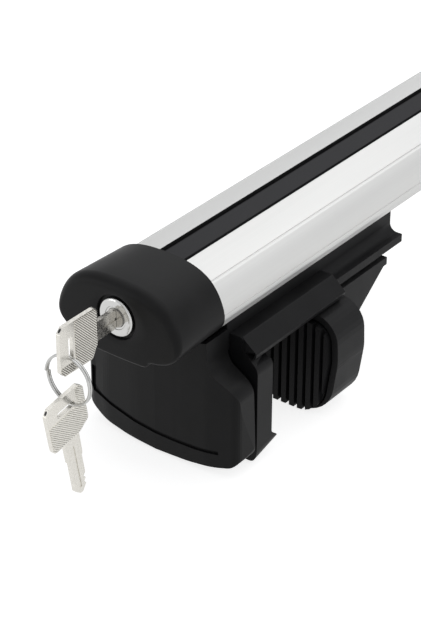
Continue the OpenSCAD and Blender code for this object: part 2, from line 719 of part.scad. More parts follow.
// Inner jaw: head with a seat for the pad, plate, gussets, and the carriage on the clamp bolt
module inner_jaw() color("#3a3a3c") difference() {
    union() {
        difference() {
            run_y(head_y, head_back) head_front();
            run_y(head_y - over, head_y + pad_seat) {
                head_front(head_wall - 0.8);
                translate([-head_w + 16, -head_low - over]) square([2 * head_w - 32, 20]);
            }
            run_y(head_y + pad_seat + 3.5, head_back + over) head_front(head_wall, head_wall);
        }
        box([-flange_w, head_y + pad_seat + 1, head_top - plate_t], [flange_w, plate_end, head_top]);
        for (x = [-flange_w + gusset_t / 2, 0, flange_w - gusset_t / 2]) translate([x, 0, 0]) run_x(gusset_t)
            polygon([[head_y + pad_seat + 1, head_top - 1], [plate_end, head_top - 1],
                [plate_end, head_top - 2], [head_back, head_top - gusset_h],
                [head_y + pad_seat + 1, head_top - gusset_h]]);
        box([slide_gap - channel_w, carriage_y, head_top - 1],
            [channel_w - slide_gap, carriage_y + carriage_len, channel_z - slide_gap]);
    }
    translate([0, 0, -bolt_low]) rod_y(clear_r, head_y + pad_seat + 3.5, carriage_y + carriage_len + over);
    box([-jaw_nut_w / 2 - 0.1, jaw_nut_y, -bolt_low - jaw_nut_w / 2 - 0.1],
        [jaw_nut_w / 2 + 0.1, jaw_nut_y + jaw_nut_t + 0.2, channel_z + over]);
}

// Square nut in the carriage
module jaw_nut() color("silver") difference() {
    translate([0, 0, -bolt_low]) box([-jaw_nut_w / 2, jaw_nut_y + 0.1, -jaw_nut_w / 2],
        [jaw_nut_w / 2, jaw_nut_y + 0.1 + jaw_nut_t, jaw_nut_w / 2]);
    translate([0, 0, -bolt_low]) rod_y(bolt_r + fit, jaw_nut_y - over, jaw_nut_y + jaw_nut_t + over);
}

// Rubber pad with upright ribs on the face of the inner jaw
module jaw_pad() color("#1c1c1d") intersection() {
    run_y(head_y - rib_t, head_y + pad_seat) head_front(head_wall + 0.2);
    union() {
        run_y(head_y + 0.2, head_y + pad_seat) head_front(head_wall + 0.2);
        count = floor((head_w - head_wall) / rib_pitch);
        rib_w = 0.6 * rib_pitch;
        for (i = [-count : count])
            box([i * rib_pitch - rib_w / 2, head_y - rib_t, -head_low - over],
                [i * rib_pitch + rib_w / 2, head_y + 0.3, head_top]);
    }
}

// Long bolt that draws the inner jaw towards the leg
module clamp_bolt() color("silver") translate([0, 0, -bolt_low]) {
    difference() {
        rod_y(bolt_head_r, bolt_seat_y - bolt_head_h, bolt_seat_y - fit);
        translate([0, bolt_seat_y - bolt_head_h + 3, 0]) rotate([90, 0, 0])
            cylinder(h = 3 + over, r = hex_r, $fn = 6);
    }
    rod_y(bolt_r, bolt_seat_y - 0.1, bolt_seat_y + bolt_len);
}

// Washer under the clamp bolt's head
module bolt_washer() color("darkgray") translate([0, 0, -bolt_low]) difference() {
    rod_y(washer_r, bolt_seat_y, bolt_seat_y + washer_t);
    rod_y(bolt_r + 0.2, bolt_seat_y - over, bolt_seat_y + washer_t + over);
}

crossbar_profile();
slot_strip();
at_end(-1) end_cap();  // end_cap_a
at_end(-1) lock_body();  // lock_body_a
at_end(-1) lock_nut();  // lock_nut_a
at_end(-1) lock_plug();  // lock_plug_a
at_end(-1) lock_cam();  // lock_cam_a
at_end(-1) cam_screw();  // cam_screw_a
at_end(-1) foot_cover();  // foot_cover_a
at_end(-1) cover_screws();  // cover_screws_a
at_end(-1) foot_saddle();  // foot_saddle_a
at_end(-1) saddle_bolts();  // saddle_bolts_a
at_end(-1) nut_plate();  // nut_plate_a
at_end(-1) rail_liner();  // rail_liner_a
at_end(-1) liner_screws();  // liner_screws_a
at_end(-1) inner_jaw();  // inner_jaw_a
at_end(-1) jaw_nut();  // jaw_nut_a
at_end(-1) jaw_pad();  // jaw_pad_a
at_end(-1) clamp_bolt();  // clamp_bolt_a
at_end(-1) bolt_washer();  // bolt_washer_a
at_end(1) end_cap();  // end_cap_b
at_end(1) lock_body();  // lock_body_b
at_end(1) lock_nut();  // lock_nut_b
at_end(1) lock_plug();  // lock_plug_b
at_end(1) lock_cam();  // lock_cam_b
at_end(1) cam_screw();  // cam_screw_b
at_end(1) foot_cover();  // foot_cover_b
at_end(1) cover_screws();  // cover_screws_b
at_end(1) foot_saddle();  // foot_saddle_b
at_end(1) saddle_bolts();  // saddle_bolts_b
at_end(1) nut_plate();  // nut_plate_b
at_end(1) rail_liner();  // rail_liner_b
at_end(1) liner_screws();  // liner_screws_b
at_end(1) inner_jaw();  // inner_jaw_b
at_end(1) jaw_nut();  // jaw_nut_b
at_end(1) jaw_pad();  // jaw_pad_b
at_end(1) clamp_bolt();  // clamp_bolt_b
at_end(1) bolt_washer();  // bolt_washer_b
at_end(-1) key();
at_end(-1) split_ring();
at_end(-1) spare_key();
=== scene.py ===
import math

import bmesh
import bpy
from mathutils import Matrix, Vector


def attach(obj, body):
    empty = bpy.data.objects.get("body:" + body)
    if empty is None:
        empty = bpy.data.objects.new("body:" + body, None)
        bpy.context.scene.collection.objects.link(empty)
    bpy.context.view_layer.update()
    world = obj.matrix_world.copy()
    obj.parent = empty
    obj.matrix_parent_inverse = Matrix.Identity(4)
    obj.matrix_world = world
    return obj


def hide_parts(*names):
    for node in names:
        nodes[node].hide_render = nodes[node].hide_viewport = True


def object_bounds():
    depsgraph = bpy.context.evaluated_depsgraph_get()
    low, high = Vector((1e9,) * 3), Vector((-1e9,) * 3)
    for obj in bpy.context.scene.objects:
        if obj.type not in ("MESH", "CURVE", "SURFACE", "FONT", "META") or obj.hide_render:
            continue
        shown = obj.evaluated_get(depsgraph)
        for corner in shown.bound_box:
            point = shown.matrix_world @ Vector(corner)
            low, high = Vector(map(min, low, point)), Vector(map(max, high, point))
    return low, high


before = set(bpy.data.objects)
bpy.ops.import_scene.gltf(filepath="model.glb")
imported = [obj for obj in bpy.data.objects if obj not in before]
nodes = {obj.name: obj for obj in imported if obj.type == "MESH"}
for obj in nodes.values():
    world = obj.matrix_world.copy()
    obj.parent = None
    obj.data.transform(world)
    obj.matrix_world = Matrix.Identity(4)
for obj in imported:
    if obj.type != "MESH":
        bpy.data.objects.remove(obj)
cad_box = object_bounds()

# The bar
# An aluminium extrusion, cut to length and satin anodised. The die leaves fine lines
# along it, and the anodic film gives it an even, slightly cloudy pale grey.

MM = 0.001


def new_finish(name, colour, roughness, metallic=0.0):
    """An empty finish: its node tree and its main shader."""
    finish = bpy.data.materials.new(name)
    finish.use_nodes = True
    tree = finish.node_tree
    shader = tree.nodes["Principled BSDF"]
    shader.inputs["Base Color"].default_value = (*colour, 1)
    shader.inputs["Roughness"].default_value = roughness
    shader.inputs["Metallic"].default_value = metallic
    return finish, tree, shader


def grain(tree, per_metre, stretch=(1, 1, 1), detail=3.0):
    """A noise in the part's own frame, per_metre lumps to the metre, stretched by axis."""
    spot = tree.nodes.new("ShaderNodeTexCoord")
    size = tree.nodes.new("ShaderNodeMapping")
    size.inputs["Scale"].default_value = [per_metre / s for s in stretch]
    noise = tree.nodes.new("ShaderNodeTexNoise")
    noise.inputs["Scale"].default_value = 1.0
    noise.inputs["Detail"].default_value = detail
    tree.links.new(spot.outputs["Object"], size.inputs["Vector"])
    tree.links.new(size.outputs["Vector"], noise.inputs["Vector"])
    return noise.outputs["Fac"]


def spread(tree, value, low, high):
    """Maps a noise onto a range."""
    ramp = tree.nodes.new("ShaderNodeMapRange")
    ramp.inputs["From Min"].default_value = 0.3
    ramp.inputs["From Max"].default_value = 0.7
    ramp.inputs["To Min"].default_value = low
    ramp.inputs["To Max"].default_value = high
    tree.links.new(value, ramp.inputs["Value"])
    return ramp.outputs["Result"]


def tint(tree, value, dark, light):
    """Mixes two colours by a noise."""
    mix = tree.nodes.new("ShaderNodeMix")
    mix.data_type = "RGBA"
    mix.inputs["A"].default_value = (*dark, 1)
    mix.inputs["B"].default_value = (*light, 1)
    tree.links.new(spread(tree, value, 0, 1), mix.inputs["Factor"])
    return mix.outputs["Result"]


def dent(tree, shader, value, depth):
    """Bumps the surface by a noise, depth in metres."""
    bump = tree.nodes.new("ShaderNodeBump")
    bump.inputs["Distance"].default_value = depth
    tree.links.new(value, bump.inputs["Height"])
    tree.links.new(bump.outputs["Normal"], shader.inputs["Normal"])


anodised, tree, shader = new_finish("anodised_aluminium", (0.78, 0.785, 0.78), 0.5, 0.75)
die_lines = grain(tree, 2500, (1, 400, 1))
cloud = grain(tree, 30, (1, 6, 1))
tree.links.new(tint(tree, cloud, (0.64, 0.64, 0.63), (0.68, 0.68, 0.668)), shader.inputs["Base Color"])
tree.links.new(spread(tree, die_lines, 0.46, 0.56), shader.inputs["Roughness"])
dent(tree, shader, die_lines, 0.01 * MM)


def soften(piece, edge):
    """Rounds a piece's sharp edges, edge in metres."""
    weld = piece.modifiers.new("weld", "WELD")
    weld.merge_threshold = 0.002 * MM
    rounding = piece.modifiers.new("rounding", "BEVEL")
    rounding.width = edge
    rounding.segments = 3
    rounding.limit_method = "ANGLE"
    rounding.angle_limit = math.radians(35)
    rounding.use_clamp_overlap = True


def dress(node, finish, edge=0):
    """Gives a node of the frame its finish and, where an edge is given, rounds its sharp edges."""
    nodes[node].data.materials.clear()
    nodes[node].data.materials.append(finish)
    if edge:
        soften(nodes[node], edge)


# Painted shade darkens the walls of the slot. It is told by its distance from the bar's
# middle line, so a band of the same width along the bar's underside turns dark with painted shade too
slot_wall = 7.82 * MM
spot = tree.nodes.new("ShaderNodeTexCoord")
axes = tree.nodes.new("ShaderNodeSeparateXYZ")
aside = tree.nodes.new("ShaderNodeMath")
aside.operation = "ABSOLUTE"
inside = tree.nodes.new("ShaderNodeMath")
inside.operation = "LESS_THAN"
inside.inputs[1].default_value = slot_wall
# A mix towards near black: the painted shade of the slot
painted_slot_shade = tree.nodes.new("ShaderNodeMix")
painted_slot_shade.data_type = "RGBA"
painted_slot_shade.inputs["B"].default_value = (0.03, 0.03, 0.031, 1)
tree.links.new(spot.outputs["Object"], axes.inputs["Vector"])
tree.links.new(axes.outputs["X"], aside.inputs[0])
tree.links.new(aside.outputs["Value"], inside.inputs[0])
tree.links.new(inside.outputs["Value"], painted_slot_shade.inputs["Factor"])
tree.links.new(shader.inputs["Base Color"].links[0].from_socket, painted_slot_shade.inputs["A"])
tree.links.new(painted_slot_shade.outputs["Result"], shader.inputs["Base Color"])
dress("crossbar_profile", anodised)

# The strip in the slot
# Extruded black rubber, pushed into the slot along the top to keep wind noise and
# water out. Its top is matt and a little dusty grey.

rubber, tree, shader = new_finish("strip_rubber", (0.03, 0.03, 0.032), 0.75)
shader.inputs["Specular IOR Level"].default_value = 0.2
skin = grain(tree, 900)
tree.links.new(tint(tree, skin, (0.026, 0.026, 0.028), (0.036, 0.036, 0.038)), shader.inputs["Base Color"])
tree.links.new(spread(tree, skin, 0.68, 0.85), shader.inputs["Roughness"])
dent(tree, shader, skin, 0.04 * MM)
dress("slot_strip", rubber)

# The end caps
# Black polypropylene shells, moulded with a fine spark-eroded grain. They slide over the
# bar's ends and are held there by their locks.

ENDS = ("a", "b")


def moulded(name, colour, roughness):
    """Moulded plastic: an even colour, a fine grain and a faint waviness."""
    finish, tree, shader = new_finish(name, colour, roughness)
    shader.inputs["Specular IOR Level"].default_value = 0.1
    fine = grain(tree, 2500, detail=1.0)
    broad = grain(tree, 60)
    shades = tint(tree, broad, [c * 0.85 for c in colour], [c * 1.2 for c in colour])
    tree.links.new(shades, shader.inputs["Base Color"])
    tree.links.new(spread(tree, broad, roughness - 0.05, roughness + 0.05), shader.inputs["Roughness"])
    dent(tree, shader, fine, 0.03 * MM)
    return finish


def new_piece(name, mesh, finish, body, smooth=True):
    """Puts a mesh into the scene with its finish, on the body that carries it.

    A smooth piece keeps its sharp corners, and any other one has flat faces.
    """
    bmesh.ops.recalc_face_normals(mesh, faces=mesh.faces)
    piece = bpy.data.objects.new(name, bpy.data.meshes.new(name))
    mesh.to_mesh(piece.data)
    mesh.free()
    piece.data.materials.append(finish)
    piece.data.polygons.foreach_set("use_smooth", [smooth] * len(piece.data.polygons))
    if smooth:
        piece.data.set_sharp_from_angle(angle=math.radians(40))
    bpy.context.scene.collection.objects.link(piece)
    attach(piece, body)
    return piece


# Each end's own frame: Y 0 is its cap's face, Y runs in along the bar, and Z 0 is its lock's axis
lock_face = Vector((0, -0.6, -0.0124))
near_end = Matrix.Translation(lock_face)
place = {"a": near_end, "b": Matrix.Rotation(math.pi, 4, "Z") @ near_end}


def limited(value):
    """A value kept between 0 and 1."""
    return min(1, max(0, value))


def rounded(points, rounds):
    """Cuts the corners of a closed outline again and again."""
    for _ in range(rounds):
        cut = []
        for (x0, z0), (x1, z1) in zip(points, points[1:] + points[:1]):
            cut += [(x0 + (x1 - x0) * share, z0 + (z1 - z0) * share) for share in (0.25, 0.75)]
        points = cut
    return points


def sleeve(loops):
    """A closed mesh through loops of equally many points, the last joined to the first."""
    mesh = bmesh.new()
    bmesh.ops.create_circle(mesh, segments=len(loops[0]), radius=1)
    row = list(mesh.verts)
    edges = list(mesh.edges)
    for vert, point in zip(row, loops[0]):
        vert.co = Vector(point) * MM
    for loop in loops[1:] + loops[:1]:
        made = bmesh.ops.extrude_edge_only(mesh, edges=edges)["geom"]
        fresh = {v for v in made if isinstance(v, bmesh.types.BMVert)}
        edges = [e for e in made if isinstance(e, bmesh.types.BMEdge) and fresh.issuperset(e.verts)]
        row = [next(e.other_vert(v) for e in v.link_edges if e.other_vert(v) in fresh) for v in row]
        for vert, point in zip(row, loop):
            vert.co = Vector(point) * MM
    bmesh.ops.remove_doubles(mesh, verts=mesh.verts, dist=1e-7)
    return mesh


# The cap in millimetres: the right half of its outline, with a tongue below. Its sides bulge
# towards the front, and its front edge is rounded more at the top than below.
cap_half = [(4.5, 17.1), (9, 16.8), (13, 16.2), (16.5, 15.3), (19.5, 14.2), (22, 12.9), (24.2, 11.4),
            (26.2, 9.4), (28, 7.1), (29.6, 4.4), (30.9, 1.4), (31.9, -1.8), (32.3, -4.8), (31.9, -7.4),
            (30.7, -9.8), (28.4, -12.1), (25.8, -13.9), (23, -15.1), (20, -16), (16.8, -16.5),
            (15.6, -18.2), (14.2, -19.6), (12, -20), (6, -20.2)]
cap_top, cap_foot = (0, 17.2), (0, -20.3)
cap_outline = rounded([cap_top] + cap_half + [cap_foot] + [(-x, z) for x, z in reversed(cap_half)], 2)
cap_long, cap_wall, cap_bulge, bulge_start = 34.5, 1.8, 1.7, 20
inner_round = 2.6
round_low, round_top = 1.2, 4.8
lock_hole, bezel_seat, gap_inner, gap_outer, mouth = 7.6, 9.1, 9.2, 10.3, 11.1
seat_deep, gap_deep, front_thick = 0.8, 1.5, 3.2
cap_ways = []
for (x0, z0), (x1, z1) in zip(cap_outline[-1:] + cap_outline[:-1], cap_outline[1:] + cap_outline[:1]):
    step = math.hypot(x1 - x0, z1 - z0)
    cap_ways.append((-(z1 - z0) / step, (x1 - x0) / step))
cap_front = [round_low + (round_top - round_low) * limited(0.5 + nz / 1.6) for nx, nz in cap_ways]


def cap_ring(inset, y, rounding=None):
    """The cap's outline at depth y, moved in by inset, or at an angle of its rounded front edge."""
    ring = []
    for (x, z), (nx, nz), r in zip(cap_outline, cap_ways, cap_front):
        depth = y if rounding is None else r * (1 - math.cos(rounding))
        back = inset if rounding is None else r * (1 - math.sin(rounding))
        x += math.copysign(cap_bulge * (1 - depth / cap_long) * min(1, abs(x) / bulge_start), x)
        ring.append((x - nx * back, depth, z - nz * back))
    return ring


def lock_ring(radius, y):
    """A circle round the lock with one point for each point of the cap's outline."""
    return [(radius * x / math.hypot(x, z), y, radius * z / math.hypot(x, z)) for x, z in cap_outline]


def between(one, other, share):
    """A loop part of the way from one loop to another."""
    return [tuple(u + (v - u) * share for u, v in zip(p, q)) for p, q in zip(one, other)]


# The loops run out from the lock's hole over the front, along the outside to the rim and back inside
edge_ring = cap_ring(0, 0, 0.0)
mouth_ring = lock_ring(mouth, 0)
hole_ring = lock_ring(lock_hole, front_thick)
inner_ring = cap_ring(cap_wall + inner_round, front_thick)
cap_loops = [hole_ring, lock_ring(lock_hole, seat_deep), lock_ring(bezel_seat, seat_deep),
             lock_ring(gap_inner, gap_deep), lock_ring(gap_outer, gap_deep),
             lock_ring(gap_outer + 0.2, 0.5), lock_ring(gap_outer + 0.4, 0.14), mouth_ring]
cap_loops += [between(mouth_ring, edge_ring, share) for share in (0.3, 0.6, 0.85)]
cap_loops += [cap_ring(0, 0, math.pi / 2 * k / 8) for k in range(9)]
cap_loops += [cap_ring(0, 14), cap_ring(0, 24), cap_ring(0, cap_long - 0.3), cap_ring(0.3, cap_long),
              cap_ring(cap_wall - 0.2, cap_long), cap_ring(cap_wall, cap_long - 0.3),
              cap_ring(cap_wall, 20), cap_ring(cap_wall, 6)]
cap_loops += [inner_ring, between(inner_ring, hole_ring, 0.6)]
cap_plastic = moulded("cap_plastic", (0.0125, 0.0125, 0.0128), 0.42)
for end in ENDS:
    dress(f"end_cap_{end}", cap_plastic)
    shell = sleeve(cap_loops)
    bmesh.ops.transform(shell, verts=shell.verts, matrix=place[end])
    cap = new_piece(f"cap_moulding_{end}", shell, cap_plastic, f"cap_{end}")
    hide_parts(f"end_cap_{end}")

# The foot covers
# Shells of the same plastic, screwed to the outer jaws from behind. The face curves gently
# from side to side, and a deep groove runs down its left side and along its lower edge.

cover_plastic = moulded("cover_plastic", (0.0105, 0.0105, 0.0108), 0.4)
# How far the face lies back by its place across, and the groove's line, in the solids and in fact
cover_face, cover_rear = 25.0, 41.2
drawn_face = [(0, 0), (12, 0.5), (28, 2.9), (42.3, 6.4)]
real_face = [(-42.3, 5.2), (-28, 1.9), (-12, 0.3), (0, 0), (12, 0.2), (28, 1.0), (42.3, 3.8)]
drawn_groove = [(-37, -50), (-36.8, -61), (-35, -64.4), (-26, -69), (-12, -72), (0, -72.9),
                (10, -72.9), (22, -72.2), (33.7, -70.6)]
real_groove = [(-38, -53.5), (-38.2, -64), (-37.5, -65.8), (-26.4, -68.8), (-12, -71.1), (0, -72),
               (10, -72.2), (22, -72), (33.4, -70.9)]
groove_half, groove_deep = 1.0, 1.6
side_wider, bottom_wider = 2.1, 1.5
# The lower corners rise outside corner_start, and the sides stand wider below side_top
corner_start, corner_wide, corner_top, corner_high = 27, 15.7, -70, 7
side_top, side_fade = -32, 10
left_rise, left_wider = 3.6, 0.024
right_rise, right_wider = 0.8, 0.02


def read_off(table, x):
    """The value of a table of (x, value) at x."""
    for (x0, v0), (x1, v1) in zip(table, table[1:]):
        if x <= x1:
            return v0 + (v1 - v0) * (x - x0) / (x1 - x0)
    return table[-1][1]


def reshaped(node, end, move):
    """A merged copy of a node, its points moved in millimetres in the end's own frame."""
    mesh = bmesh.new()
    mesh.from_mesh(nodes[node].data)
    bmesh.ops.remove_doubles(mesh, verts=mesh.verts, dist=0.002 * MM)
    inverse = place[end].inverted()
    for vert in mesh.verts:
        vert.co = place[end] @ (Vector(move(*(inverse @ vert.co / MM))) * MM)
    return mesh


def along_groove(x, z):
    """Where a point beside the drawn groove lies beside the real one, which is wider."""
    best = None
    for (a, b, c, d) in zip(drawn_groove, drawn_groove[1:], real_groove, real_groove[1:]):
        a, b, c, d = Vector(a), Vector(b), Vector(c), Vector(d)
        share = limited((Vector((x, z)) - a).dot(b - a) / (b - a).length_squared)
        off = Vector((x, z)) - a.lerp(b, share)
        if best is None or off.length < best[0]:
            wide = side_wider if a.x < -36 else bottom_wider
            best = (off.length, c.lerp(d, share) + off * wide)
    return best


def cover_point(x, y, z):
    """Moves a point of the drawn cover to where it is on the real one."""
    drawn, real = cover_face + read_off(drawn_face, abs(x)), cover_face + read_off(real_face, x)
    near, spot = along_groove(x, z)
    if near < groove_half and y < drawn + groove_deep:
        x, z = spot
    y -= (drawn - real) * limited((cover_rear - y) / (cover_rear - drawn))
    rise, wider = (left_rise, left_wider) if x < 0 else (right_rise, right_wider)
    outwards = max(0, (abs(x) - corner_start) / corner_wide)
    z += rise * outwards ** 2 * limited((corner_top - z) / corner_high)
    return (x * (1 + wider * limited((side_top - z) / side_fade)), y, z)


for end in ENDS:
    dress(f"foot_cover_{end}", cover_plastic)
    shell = reshaped(f"foot_cover_{end}", end, cover_point)
    cover = new_piece(f"cover_moulding_{end}", shell, cover_plastic, "root", False)
    soften(cover, 0.6 * MM)
    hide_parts(f"foot_cover_{end}")

# The locks
# Zinc housings, bright chromed, with a nickel plug; the nut, cam and screw behind the
# cap are zinc-plated steel.

chrome, tree, shader = new_finish("lock_chrome", (0.54, 0.54, 0.53), 0.12, 1.0)
tree.links.new(spread(tree, grain(tree, 400), 0.08, 0.18), shader.inputs["Roughness"])
nickel, tree, shader = new_finish("lock_nickel", (0.38, 0.37, 0.35), 0.25, 1.0)
tree.links.new(spread(tree, grain(tree, 600), 0.2, 0.34), shader.inputs["Roughness"])
zinc, tree, shader = new_finish("zinc_steel", (0.6, 0.61, 0.62), 0.35, 1.0)
tree.links.new(spread(tree, grain(tree, 500), 0.28, 0.45), shader.inputs["Roughness"])
for end in ENDS:
    dress(f"lock_body_{end}", chrome, 0.2 * MM)
    dress(f"lock_plug_{end}", nickel, 0.1 * MM)
    dress(f"lock_nut_{end}", zinc)
    dress(f"lock_cam_{end}", zinc)
    dress(f"cam_screw_{end}", zinc)

# The saddles, their bolts and the nut plates
# Glass-filled nylon blocks, bolted up against the bar through a steel plate inside it. The
# small black screws hold the covers.

saddle_plastic = moulded("saddle_plastic", (0.009, 0.009, 0.0095), 0.5)
# Black steel for the cover and liner screws, also used as the painted shade in the key dimples
black_steel, tree, shader = new_finish("black_steel", (0.05, 0.05, 0.05), 0.4, 1.0)
tree.links.new(spread(tree, grain(tree, 700), 0.32, 0.5), shader.inputs["Roughness"])
for end in ENDS:
    dress(f"foot_saddle_{end}", saddle_plastic, 0.5 * MM)
    dress(f"saddle_bolts_{end}", zinc)
    dress(f"nut_plate_{end}", zinc)
    dress(f"cover_screws_{end}", black_steel)

# The outer jaws
# Nylon mouldings, screwed up against the saddles: a leg with a hook that goes under the
# car's rail, and skirts over the saddle's flanges.

liner_plastic = moulded("liner_plastic", (0.0085, 0.0085, 0.009), 0.4)
leg_foot, leg_front, hook_end = -81.5, 43.2, 59.5
# The leg's lower edge is an arc in the solids, and in fact straight and higher towards the hook
drawn_low, drawn_radius = leg_foot + 0.6, 210
real_low, real_rise = leg_foot + 0.1, 5.7
edge_top = -60
# The front of the drawn skirts slants back over flare_deep outside flare_start, and the real one
# only by flare_left of that; leg_flank is the leg's half width by height
skirt_foot, flare_start, flare_deep, flare_left, clear = -33, 36.3, 12, 0.06, 0.4
leg_flank = [(-33, 43.6), (-32, 43), (-23.4, 34.4), (-18.3, 36.4), (0, 36.4)]


def leg_point(x, y, z):
    """Squares the skirts' front and lowers the leg's sides to its real lower edge."""
    if z > skirt_foot and abs(x) > max(flare_start, read_off(leg_flank, z) + clear):
        if leg_front + clear / 2 < y < leg_front + flare_deep:
            y = leg_front + clear + flare_left * (y - leg_front)
    arc = drawn_low + x * x / (2 * drawn_radius)
    straight = real_low + real_rise * max(0, y - leg_front) / (hook_end - leg_front)
    if z < edge_top and y > leg_front - 1 and straight < arc:
        z -= (arc - straight) * min(1, (edge_top - z) / (edge_top - arc)) ** 2
    return (x, y, z)


for end in ENDS:
    dress(f"rail_liner_{end}", liner_plastic)
    moulding = reshaped(f"rail_liner_{end}", end, leg_point)
    jaw = new_piece(f"outer_jaw_{end}", moulding, liner_plastic, "root", False)
    soften(jaw, 0.6 * MM)
    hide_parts(f"rail_liner_{end}")
    dress(f"liner_screws_{end}", black_steel)

# The inner jaws
# Glass-filled nylon, a touch greyer, with a ribbed rubber pad on the gripping face. A
# zinc-plated bolt and nut draw each of them towards its leg.

jaw_plastic = moulded("jaw_plastic", (0.017, 0.017, 0.0175), 0.5)
pad_rubber, tree, shader = new_finish("pad_rubber", (0.006, 0.006, 0.0065), 0.6)
shader.inputs["Specular IOR Level"].default_value = 0.15
skin = grain(tree, 1200)
shades = tint(tree, skin, (0.005, 0.005, 0.0055), (0.008, 0.008, 0.0085))
tree.links.new(shades, shader.inputs["Base Color"])
dent(tree, shader, skin, 0.03 * MM)
for end in ENDS:
    dress(f"inner_jaw_{end}", jaw_plastic, 0.7 * MM)
    dress(f"jaw_pad_{end}", pad_rubber, 0.4 * MM)
    dress(f"jaw_nut_{end}", zinc)
    dress(f"clamp_bolt_{end}", zinc)
    dress(f"bolt_washer_{end}", zinc)

# The keys and their ring
# Keys stamped from brass, nickel-plated, with a knurl pressed into their bows, and a split
# ring wound from spring wire.

key_nickel, tree, shader = new_finish("key_nickel", (0.62, 0.6, 0.55), 0.3, 0.9)
scuffs = grain(tree, 900)
tree.links.new(tint(tree, scuffs, (0.66, 0.64, 0.59), (0.76, 0.74, 0.69)), shader.inputs["Base Color"])
tree.links.new(spread(tree, scuffs, 0.22, 0.34), shader.inputs["Roughness"])
dress("key", key_nickel, 0.2 * MM)
dress("spare_key", key_nickel, 0.2 * MM)

# In a key's own frame Y runs to the tip of the blade, Z across the bow and X through it;
# the shoulder that meets the lock is at Y 0. The ring hangs in the slot across the bow
key_half = 1.0 * MM
bow_low, bow_high, bow_side = -37 * MM, -13 * MM, 12 * MM
slot_middle, slot_half, slot_reach = -30.2 * MM, 1.42 * MM, 5.7 * MM
wire, ring_radius = 0.6 * MM, 11.8 * MM
ring_top = lock_face + Vector((-1.0 * MM, slot_middle, 1.9 * wire - slot_reach))
# The spare key hangs on the lowest point of the ring, its blade down and 10 degrees in under the bar
hanging = (Matrix.Translation(ring_top - Vector((0, 0, 2 * ring_radius)))
           @ Matrix.Rotation(math.radians(-80), 4, "X")
           @ Matrix.Translation((0, -slot_middle, slot_half + 0.5 * MM - slot_reach))
           @ Matrix.Rotation(math.pi, 4, "Y"))


def knurl(mesh, corners, side, valley_height):
    """Adds a field of small pyramids inside a convex outline, on one face of a key.

    Its height attribute is 1 on the peaks and the given valley height in the valleys; the lower that is,
    the darker the painted shade in them.
    """
    pitch, rise, proud, sunk = 0.9 * MM, 0.34 * MM, 0.02 * MM, 0.2 * MM
    ring = [Vector((0, *corner)) for corner in corners]
    middle = sum(ring, Vector()) / len(ring)
    reach = max((corner - middle).length for corner in ring) + pitch
    count = int(2 * reach / pitch)
    field = bmesh.new()
    bmesh.ops.create_grid(field, x_segments=count, y_segments=count, size=count * pitch / 2)
    height = field.verts.layers.float.new("height")
    for vert in field.verts:
        vert[height] = valley_height
    for vert in bmesh.ops.poke(field, faces=field.faces, offset=rise)["verts"]:
        vert[height] = 1
    bmesh.ops.rotate(field, verts=field.verts, matrix=Matrix.Rotation(math.radians(45), 3, "Z"))
    bmesh.ops.transform(field, verts=field.verts, matrix=Matrix.Rotation(math.pi / 2, 4, "Y"))
    bmesh.ops.translate(field, verts=field.verts, vec=middle + Vector((key_half + proud, 0, 0)))
    for start, stop in zip(ring, ring[1:] + ring[:1]):
        outward = (stop - start).cross(Vector((1, 0, 0)))
        if outward.dot(middle - start) > 0:
            outward = -outward
        whole = field.verts[:] + field.edges[:] + field.faces[:]
        bmesh.ops.bisect_plane(field, geom=whole, dist=1e-7, plane_co=start, plane_no=outward,
                               clear_outer=True)
    rim = [e for e in field.edges if e.is_boundary]
    foot = bmesh.ops.extrude_edge_only(field, edges=rim)["geom"]
    for vert in foot:
        if isinstance(vert, bmesh.types.BMVert):
            vert.co.x = key_half - sunk
    if side < 0:
        bmesh.ops.scale(field, verts=field.verts, vec=(-1, 1, 1))
    part = bpy.data.meshes.new("part")
    field.to_mesh(part)
    field.free()
    mesh.from_mesh(part)
    bpy.data.meshes.remove(part)


# Painted shade darkens the valleys of the knurl
knurled, tree, shader = new_finish("knurled_nickel", (0.62, 0.6, 0.55), 0.3, 0.9)
raised = tree.nodes.new("ShaderNodeAttribute")
raised.attribute_name = "height"
valley = tree.nodes.new("ShaderNodeMapRange")
valley.inputs["From Min"].default_value = 0.1
valley.inputs["From Max"].default_value = 0.6
knurl_shade = tree.nodes.new("ShaderNodeMix")
knurl_shade.data_type = "RGBA"
knurl_shade.inputs["A"].default_value = (0.14, 0.13, 0.115, 1)
tree.links.new(raised.outputs["Fac"], valley.inputs["Value"])
tree.links.new(valley.outputs["Result"], knurl_shade.inputs["Factor"])
tree.links.new(tint(tree, grain(tree, 900), (0.8, 0.78, 0.72), (0.9, 0.88, 0.82)), knurl_shade.inputs["B"])
tree.links.new(knurl_shade.outputs["Result"], shader.inputs["Base Color"])
# The knurl fills the bow in front of the slot and a narrow field beside it, inside a plain rim
plain = 0.6 * MM
field_side, field_low, field_high = bow_side - plain, bow_low + plain, bow_high - plain
field_back = slot_middle + slot_half + 1.4 * MM
beside_slot = -7.2 * MM
front_field = [(field_back, -field_side), (-17 * MM, -field_side), (field_high, -5.6 * MM),
               (field_high, 10 * MM), (-15 * MM, field_side), (field_back, field_side)]
side_field = [(field_low, beside_slot), (field_low, -9.7 * MM), (-34.6 * MM, -field_side),
              (field_back, -field_side), (field_back, beside_slot)]
# The last value is the height of the knurl valleys: the lower it is, the darker their painted shade
for name, key_body, pose, valley_height in (("key_knurling", "key", near_end, 0.0),
                                   ("spare_key_knurling", "spare_key", hanging, 0.4)):
    knurling = bmesh.new()
    for side in (1, -1):
        knurl(knurling, front_field, side, valley_height)
        knurl(knurling, side_field, side, valley_height)
    bmesh.ops.transform(knurling, verts=knurling.verts, matrix=pose)
    new_piece(name, knurling, knurled, key_body, False)
